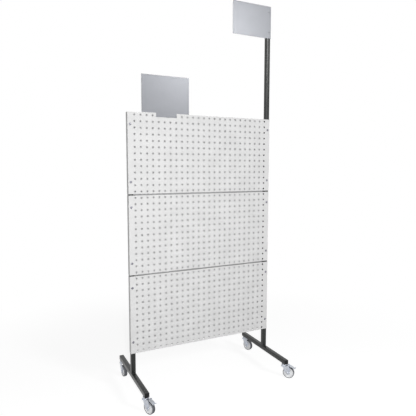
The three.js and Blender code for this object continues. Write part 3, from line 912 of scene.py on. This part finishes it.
def fork_mesh(has_brake):
    """A fork pressed from sheet: a rolled crown, two cheeks, and the bearing cup on top."""
    bend, inner_bend = FORK_BEND, FORK_BEND - FORK_SHEET
    turn_x, turn_z = FORK_OUTER - bend, CROWN - inner_bend  # middle of the right-hand bend
    section = [(-FORK_OUTER, LEG)]
    section += arc(-turn_x, turn_z, bend, 180, 90, 6)
    section += arc(turn_x, turn_z, bend, 90, 0, 6)
    section += [(FORK_OUTER, LEG), (FORK_HALF, LEG)]
    section += arc(turn_x, turn_z, inner_bend, 0, 90, 4)
    section += arc(-turn_x, turn_z, inner_bend, 90, 180, 4)
    section += [(-FORK_HALF, LEG)]
    crown = prism(section, -CROWN_REACH, CROWN_REACH, lambda a, b, c: (a, -c, b))
    corners = [  # of a cheek, as (forwards, height, radius of its turn)
        (-16.9, OVERLAP, 0), (-17, LEG, 0), (-4.5, 72, 7), (3.5, 45, 16), (15.5, 31.5, 10),
        (21, 25, 7), (30, 23.6, 9), (38, 25.5, 7), (43.2, 36, 9),
    ]
    if has_brake:  # with an ear for the pedal's pin
        corners += [
            (43, 60, 12), (36, 83, 5), (34, 87.5, 4), (27, 88, 4), (21, 84, 5), (17, 82, 0.5),
            (16, 80, 0), (16, OVERLAP, 0),
        ]
    else:
        corners += [(43, 60, 14), (31, 77, 6), (17, 81, 0.5), (16, 79, 0), (16, OVERLAP, 0)]
    outline = rounded([corner[:2] for corner in corners], [corner[2] for corner in corners], 6)
    cheeks = [
        side_prism(outline, FORK_HALF, FORK_OUTER), side_prism(outline, -FORK_OUTER, -FORK_HALF)
    ]
    boss, boss_faces = lathe([(7.8, 0), (10.2, 0), (9.8, 0.5), (8.2, 0.5)], 40, "x")
    bosses = [
        ([(side * (FORK_OUTER + x), y - TRAIL, z + WHEEL) for x, y, z in boss], boss_faces)
        for side in (-1, 1)
    ]
    cup = lathe(
        [(4.4, 81.2), (18, 81.2), (18, 85.2), (17.7, 86.9), (16.8, 88.2), (15.4, 89.2),
         (13.6, 89.7), (8.4, 89.7), (7.6, 88.9), (4.4, 88.9)],
        56,
    )
    folded = combined("castor_fork", "UNION", [crown] + cheeks)
    return with_bodies(folded, [cup] + bosses)


def hexagon(half_flats, start):
    """A hexagon's corners from half its width over flats, turned by start, in radians."""
    radius = half_flats / math.cos(math.pi / 6)
    return [
        (radius * math.cos(start + math.pi / 3 * i), radius * math.sin(start + math.pi / 3 * i))
        for i in range(6)
    ]


def axle_mesh():
    """A hexagon bolt through the wheel, with a washer each side and a nut with a thread end."""
    seat, end = AXLE_SEAT, AXLE_SEAT + 0.3
    bodies = [lathe([(0, -end), (4, -end), (4, end), (0, end)], 32, "x")]
    washer, washer_faces = lathe([(3.8, 0), (6.5, 0), (6.5, 0.6), (3.8, 0.6)], 40, "x")
    levels = [(5.3, 0.55), (5.3, 2.0), (4.8, 2.4)]  # half over flats, height over the seat
    for side, start in ((-1, 0.3), (1, 0.75)):
        bodies.append(([(side * (seat + x), y, z) for x, y, z in washer], washer_faces))
        bodies.append(loft([
            [(side * (seat + height), y, z) for y, z in hexagon(half_flats, start)]
            for half_flats, height in levels
        ]))
    thread = [(0, 2.2), (3.4, 2.2), (3.1, 2.5), (0, 2.5)]
    bodies.append(lathe([(radius, seat + height) for radius, height in thread], 24, "x"))
    return new_mesh("castor_axle", bodies)


def mirrored(profile):
    """A profile of (radius, distance) points, from bore to rim, closed through both sides."""
    return profile + [(radius, -distance) for radius, distance in reversed(profile)]


def core_mesh():
    """The moulded wheel centre: a hub, a dished web and a rim with a lip each side."""
    side = [
        (4.3, 12.9), (8.6, 12.9), (9.4, 12.3), (9.8, 11.2), (10.4, 7.4), (11.6, 6.4), (25.4, 5.6),
        (27.6, 6.2), (28.6, 8.2), (29.4, 9.0), (32.4, 9.0), (33.0, 8.4),
    ]
    return new_mesh("castor_core", [lathe(mirrored(side), 72, "x")])


def tyre_mesh():
    """The tyre: flat sides, turned shoulders, a shallow groove each side of a crowned tread."""
    side = [
        (33.3, 10.6), (33.6, 11.0), (34.6, 11.0), (35.5, 10.7), (36.3, 10.0), (36.9, 9.1),
        (37.25, 8.0), (37.38, 6.6), (37.1, 6.2), (37.1, 5.7), (37.42, 5.3), (37.5, 2.4),
    ]
    mesh = new_mesh("castor_tyre", [lathe(mirrored(side), 96, "x")])
    mesh.materials.append(side_rubber)
    mesh.materials.append(tread_rubber)
    # Faces on the tread band take the second rubber, which is darker than the sides'.
    for face in mesh.polygons:
        on_tread_band = abs(face.center.x) < TREAD_HALF * MM and face.normal.yz.length > 0.7
        face.material_index = int(on_tread_band and face.center.yz.length > TREAD_FROM * MM)
    return mesh


def smooth_line(points, steps):
    """A line through every point, turned smoothly between them."""
    line = []
    count = len(points)
    for i in range(count - 1):
        p0 = Vector(points[max(i - 1, 0)])
        p1, p2 = Vector(points[i]), Vector(points[i + 1])
        p3 = Vector(points[min(i + 2, count - 1)])
        for k in range(steps):
            t = k / steps
            line.append(
                0.5 * (2 * p1 + (p2 - p0) * t + (2 * p0 - 5 * p1 + 4 * p2 - p3) * t ** 2
                       + (3 * p1 - p0 - 3 * p2 + p3) * t ** 3)
            )
    line.append(Vector(points[-1]))
    return line


def pedal_mesh():
    """The pressed brake pedal: rolled sides, a rounded toe with grip ribs, its shoe and its pin."""
    line = smooth_line(
        [(23.5, 85.6), (31, 86.6), (40, 85.2), (50, 82.2), (60, 77.2), (68, 72.6), (73, 73.2),
         (78.6, 78.8)],
        5,
    )
    length = [0.0]
    for first, second in zip(line, line[1:]):
        length.append(length[-1] + (second - first).length)
    total, across = length[-1], 14
    root_length, root_step = 5.0, 3.0  # the pedal starts narrower by this step each side
    flat_half, roll_rate = 7.5, 0.13  # its sides roll down outside the flat middle
    half_sheet = PEDAL_SHEET / 2

    def direction(i):
        """The line's direction at a point, and the way up from it."""
        ahead = (line[min(i + 1, len(line) - 1)] - line[max(i - 1, 0)]).normalized()
        return ahead, Vector((-ahead.y, ahead.x))

    def layer(side):
        rows = []
        for i, point in enumerate(line):
            up = direction(i)[1]
            from_end = min(total - length[i], TOE_RADIUS)
            toe = TOE_RADIUS - math.sqrt(max(TOE_RADIUS ** 2 - (TOE_RADIUS - from_end) ** 2, 0.0))
            root = root_step * (1 - min(length[i], root_length) / root_length)
            half = PEDAL_HALF - max(toe, root)
            row = []
            for k in range(across + 1):
                v = -half + 2 * half * k / across
                roll = max(0.0, abs(v) - flat_half) ** 2 * roll_rate
                place = point + up * (side * half_sheet - roll)
                row.append((v, -place.x, place.y))
            rows.append(row)
        return rows

    bodies = [loft([top + bottom[::-1] for top, bottom in zip(layer(1), layer(-1))])]
    for share in (0.86, 0.91, 0.96):  # places of the grip ribs along the pedal
        i = min(range(len(line)), key=lambda n: abs(length[n] - share * total))
        ahead, up = direction(i)
        centre = line[i] + up * (half_sheet + 0.1)
        rings = []
        for v, reach in ((-6.4, 0.3), (-6.0, 0.7), (6.0, 0.7), (6.4, 0.3)):
            ring = []
            for k in range(8):
                angle = 2 * math.pi * k / 8
                offset = ahead * (reach * math.cos(angle)) + up * (reach * 0.8 * math.sin(angle))
                ring.append((v, -(centre + offset).x, (centre + offset).y))
            rings.append(ring)
        bodies.append(loft(rings))
    shoe = rounded(
        [(30, 80.6), (40, 78.0), (49, 75.0), (52, 80.2), (40, 84.6), (28, 85.2)], 1.5, 4
    )
    bodies.append(side_prism(shoe, -8.5, 8.5))
    pin, pin_faces = lathe(
        [(0, -17.1), (2.6, -17.1), (3.6, -16.7), (3.9, -16.05), (2.4, -16.05), (2.4, 16.05),
         (3.9, 16.05), (3.6, 16.7), (2.6, 17.1), (0, 17.1)],
        32, "x",
    )
    bodies.append(([(x, y - TRAIL, z + PEDAL_PIN) for x, y, z in pin], pin_faces))
    return new_mesh("castor_pedal", bodies)


def add_castors():
    """The four castors, their meshes turned in place so that their boxes stay tight."""
    meshes = {
        "stem": stem_mesh(), "axle": axle_mesh(), "core": core_mesh(), "tyre": tyre_mesh(),
        "pedal": pedal_mesh(), "braked_fork": fork_mesh(True), "plain_fork": fork_mesh(False),
    }
    for key, mesh in meshes.items():
        if key != "tyre":
            mesh.materials.append(white_plastic if key == "core" else zinc)
    for name, turn in CASTORS.items():
        low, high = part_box(f"{name}_castor_stem")
        foot = Vector(((low.x + high.x) / 2, (low.y + high.y) / 2, 0))
        rotation = Matrix.Rotation(math.radians(turn), 4, "Z")
        hub = foot + rotation @ Vector((0, -TRAIL * MM, WHEEL * MM))
        fork = meshes["braked_fork" if name in BRAKED else "plain_fork"]
        parts = [
            ("castor_stem", "swivel_stem", meshes["stem"], "zinc", "frame", foot, None),
            ("fork", "pressed_fork", fork, "zinc", f"{name}_fork", foot, (0.35, 2)),
            ("axle", "axle_bolt", meshes["axle"], "zinc", f"{name}_fork", hub, (0.15, 2)),
            ("wheel_core", "wheel_centre", meshes["core"], "white_plastic", f"{name}_wheel",
             hub, None),
            ("tyre", "tyre_ring", meshes["tyre"], "grey_rubber", f"{name}_wheel", hub, None),
        ]
        if name in BRAKED:
            parts.append(
                ("brake_pedal", "pressed_pedal", meshes["pedal"], "zinc",
                 f"{name}_brake_pedal", foot, (0.3, 2))
            )
        for node, piece, mesh, slot, body, where, bevel in parts:
            turned = mesh.copy()
            turned.transform(rotation)
            obj = as_piece(
                f"{name}_{piece}", turned, None, body,
                place=Matrix.Translation(where), sharp=38, bevel=bevel,
            )
            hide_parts(f"{name}_{node}")


# ---------------------------------------------------------------- floor, light and background

FLOOR_HALF = 9000  # of the floor's side, in millimetres
FLOOR_Z = -0.0002  # metres, just under the tyres
FLOOR_LIT = 0.8  # the floor's tone for the light it throws on the object
FLOOR_SEEN = 0.3  # its tone where it is seen
FLOOR_GLOW = 0.84  # what it adds to that tone where it is seen
FADE_FROM, FADE_TO = 0.9, 2.4  # metres from the middle over which it fades to white
WORLD_LIGHT = 0.25


def add_node(nodes, links, kind, operation, inputs):
    """A maths node of this operation, its inputs linked to sockets or set to numbers."""
    node = nodes.new(kind)
    node.operation = operation
    for socket, value in zip(node.inputs, inputs):
        if isinstance(value, float):
            socket.default_value = value
        else:
            links.new(value, socket)
    return node


def seen_rays(nodes, links):
    """1 for camera, glossy and transmission rays, and 0 for the rays that light the object."""
    path = nodes.new("ShaderNodeLightPath")
    first = add_node(
        nodes, links, "ShaderNodeMath", "MAXIMUM",
        (path.outputs["Is Camera Ray"], path.outputs["Is Glossy Ray"]),
    )
    both = add_node(
        nodes, links, "ShaderNodeMath", "MAXIMUM",
        (first.outputs[0], path.outputs["Is Transmission Ray"]),
    )
    return both.outputs[0]


def by_ray(nodes, links, seen, lit_value, seen_value):
    """One number for the rays that light the object and another for those that see."""
    choice = nodes.new("ShaderNodeMapRange")
    choice.inputs["To Min"].default_value = lit_value
    choice.inputs["To Max"].default_value = seen_value
    links.new(seen, choice.inputs["Value"])
    return choice.outputs["Result"]


def add_floor():
    """A white floor that keeps the object's shadow and fades into the background."""
    half = FLOOR_HALF
    mesh = new_mesh(
        "floor",
        [([(-half, -half, 0), (half, -half, 0), (half, half, 0), (-half, half, 0)],
          [(0, 1, 2, 3)])],
    )
    floor = bpy.data.objects.new("floor", mesh)
    bpy.context.scene.collection.objects.link(floor)
    floor.location.z = FLOOR_Z
    material = bpy.data.materials.new("floor")
    material.use_nodes = True
    nodes, links = material.node_tree.nodes, material.node_tree.links
    shader = nodes["Principled BSDF"]
    shader.inputs["Roughness"].default_value = 1
    shader.inputs["Specular IOR Level"].default_value = 0
    seen = seen_rays(nodes, links)
    links.new(by_ray(nodes, links, seen, FLOOR_LIT, FLOOR_SEEN), shader.inputs["Base Color"])
    glow = add_node(nodes, links, "ShaderNodeMath", "MULTIPLY", (seen, FLOOR_GLOW))
    shader.inputs["Emission Color"].default_value = (1, 1, 1, 1)
    links.new(glow.outputs[0], shader.inputs["Emission Strength"])
    place = nodes.new("ShaderNodeTexCoord")
    distance = add_node(
        nodes, links, "ShaderNodeVectorMath", "LENGTH", (place.outputs["Object"],)
    )
    far = nodes.new("ShaderNodeMapRange")
    far.interpolation_type = "SMOOTHSTEP"
    far.inputs["From Min"].default_value = FADE_FROM
    far.inputs["From Max"].default_value = FADE_TO
    links.new(distance.outputs["Value"], far.inputs["Value"])
    share = add_node(
        nodes, links, "ShaderNodeMath", "MULTIPLY", (far.outputs["Result"], seen)
    )
    white = nodes.new("ShaderNodeEmission")
    blend = nodes.new("ShaderNodeMixShader")
    links.new(share.outputs[0], blend.inputs["Fac"])
    links.new(shader.outputs["BSDF"], blend.inputs[1])
    links.new(white.outputs["Emission"], blend.inputs[2])
    links.new(blend.outputs["Shader"], nodes["Material Output"].inputs["Surface"])
    floor.data.materials.append(material)


def add_world():
    """White as far as it is seen, and a soft even light."""
    world = bpy.data.worlds.new("studio")
    bpy.context.scene.world = world
    world.use_nodes = True
    nodes, links = world.node_tree.nodes, world.node_tree.links
    background = nodes["Background"]
    background.inputs["Color"].default_value = (1, 1, 1, 1)
    seen = seen_rays(nodes, links)
    links.new(by_ray(nodes, links, seen, WORLD_LIGHT, 1), background.inputs["Strength"])


def add_lamp(name, kind, place, aim, power, size):
    """A round soft lamp, or a point lamp, of this power in watts and size in metres."""
    lamp = bpy.data.lights.new(name, kind)
    lamp.energy = power
    if kind == "AREA":
        lamp.shape = "DISK"
        lamp.size = size
    else:
        lamp.shadow_soft_size = size
    obj = bpy.data.objects.new(name, lamp)
    bpy.context.scene.collection.objects.link(obj)
    obj.location = place
    obj.rotation_euler = (Vector(aim) - Vector(place)).to_track_quat("-Z", "Y").to_euler()


bpy.context.scene.view_settings.view_transform = "Standard"
camera_place = add_camera()
tube("left_upright_tube", "left_upright", "z")
tube("right_upright_mast_tube", "right_upright_mast", "z")
tube("left_foot_tube", "left_foot", "y")
tube("right_foot_tube", "right_foot", "y")
add_caps()
add_welds()
add_panels()
add_back()
add_bolts()
add_screws()
add_header_sign()
add_mast_sign()
add_header_clip()
add_castors()
add_floor()
add_world()
# The key lamp stands high to the right. The fill is beside the camera, so that it lights the
# back sheet through the holes without shadows.
add_lamp("key", "AREA", (2.55, -5.45, 3.8), (0, 0, 1.2), 138, 1.5)
add_lamp("fill", "POINT", camera_place + Vector((0.1, -0.1, 0.06)), (0, 0, 1), 140, 0.05)
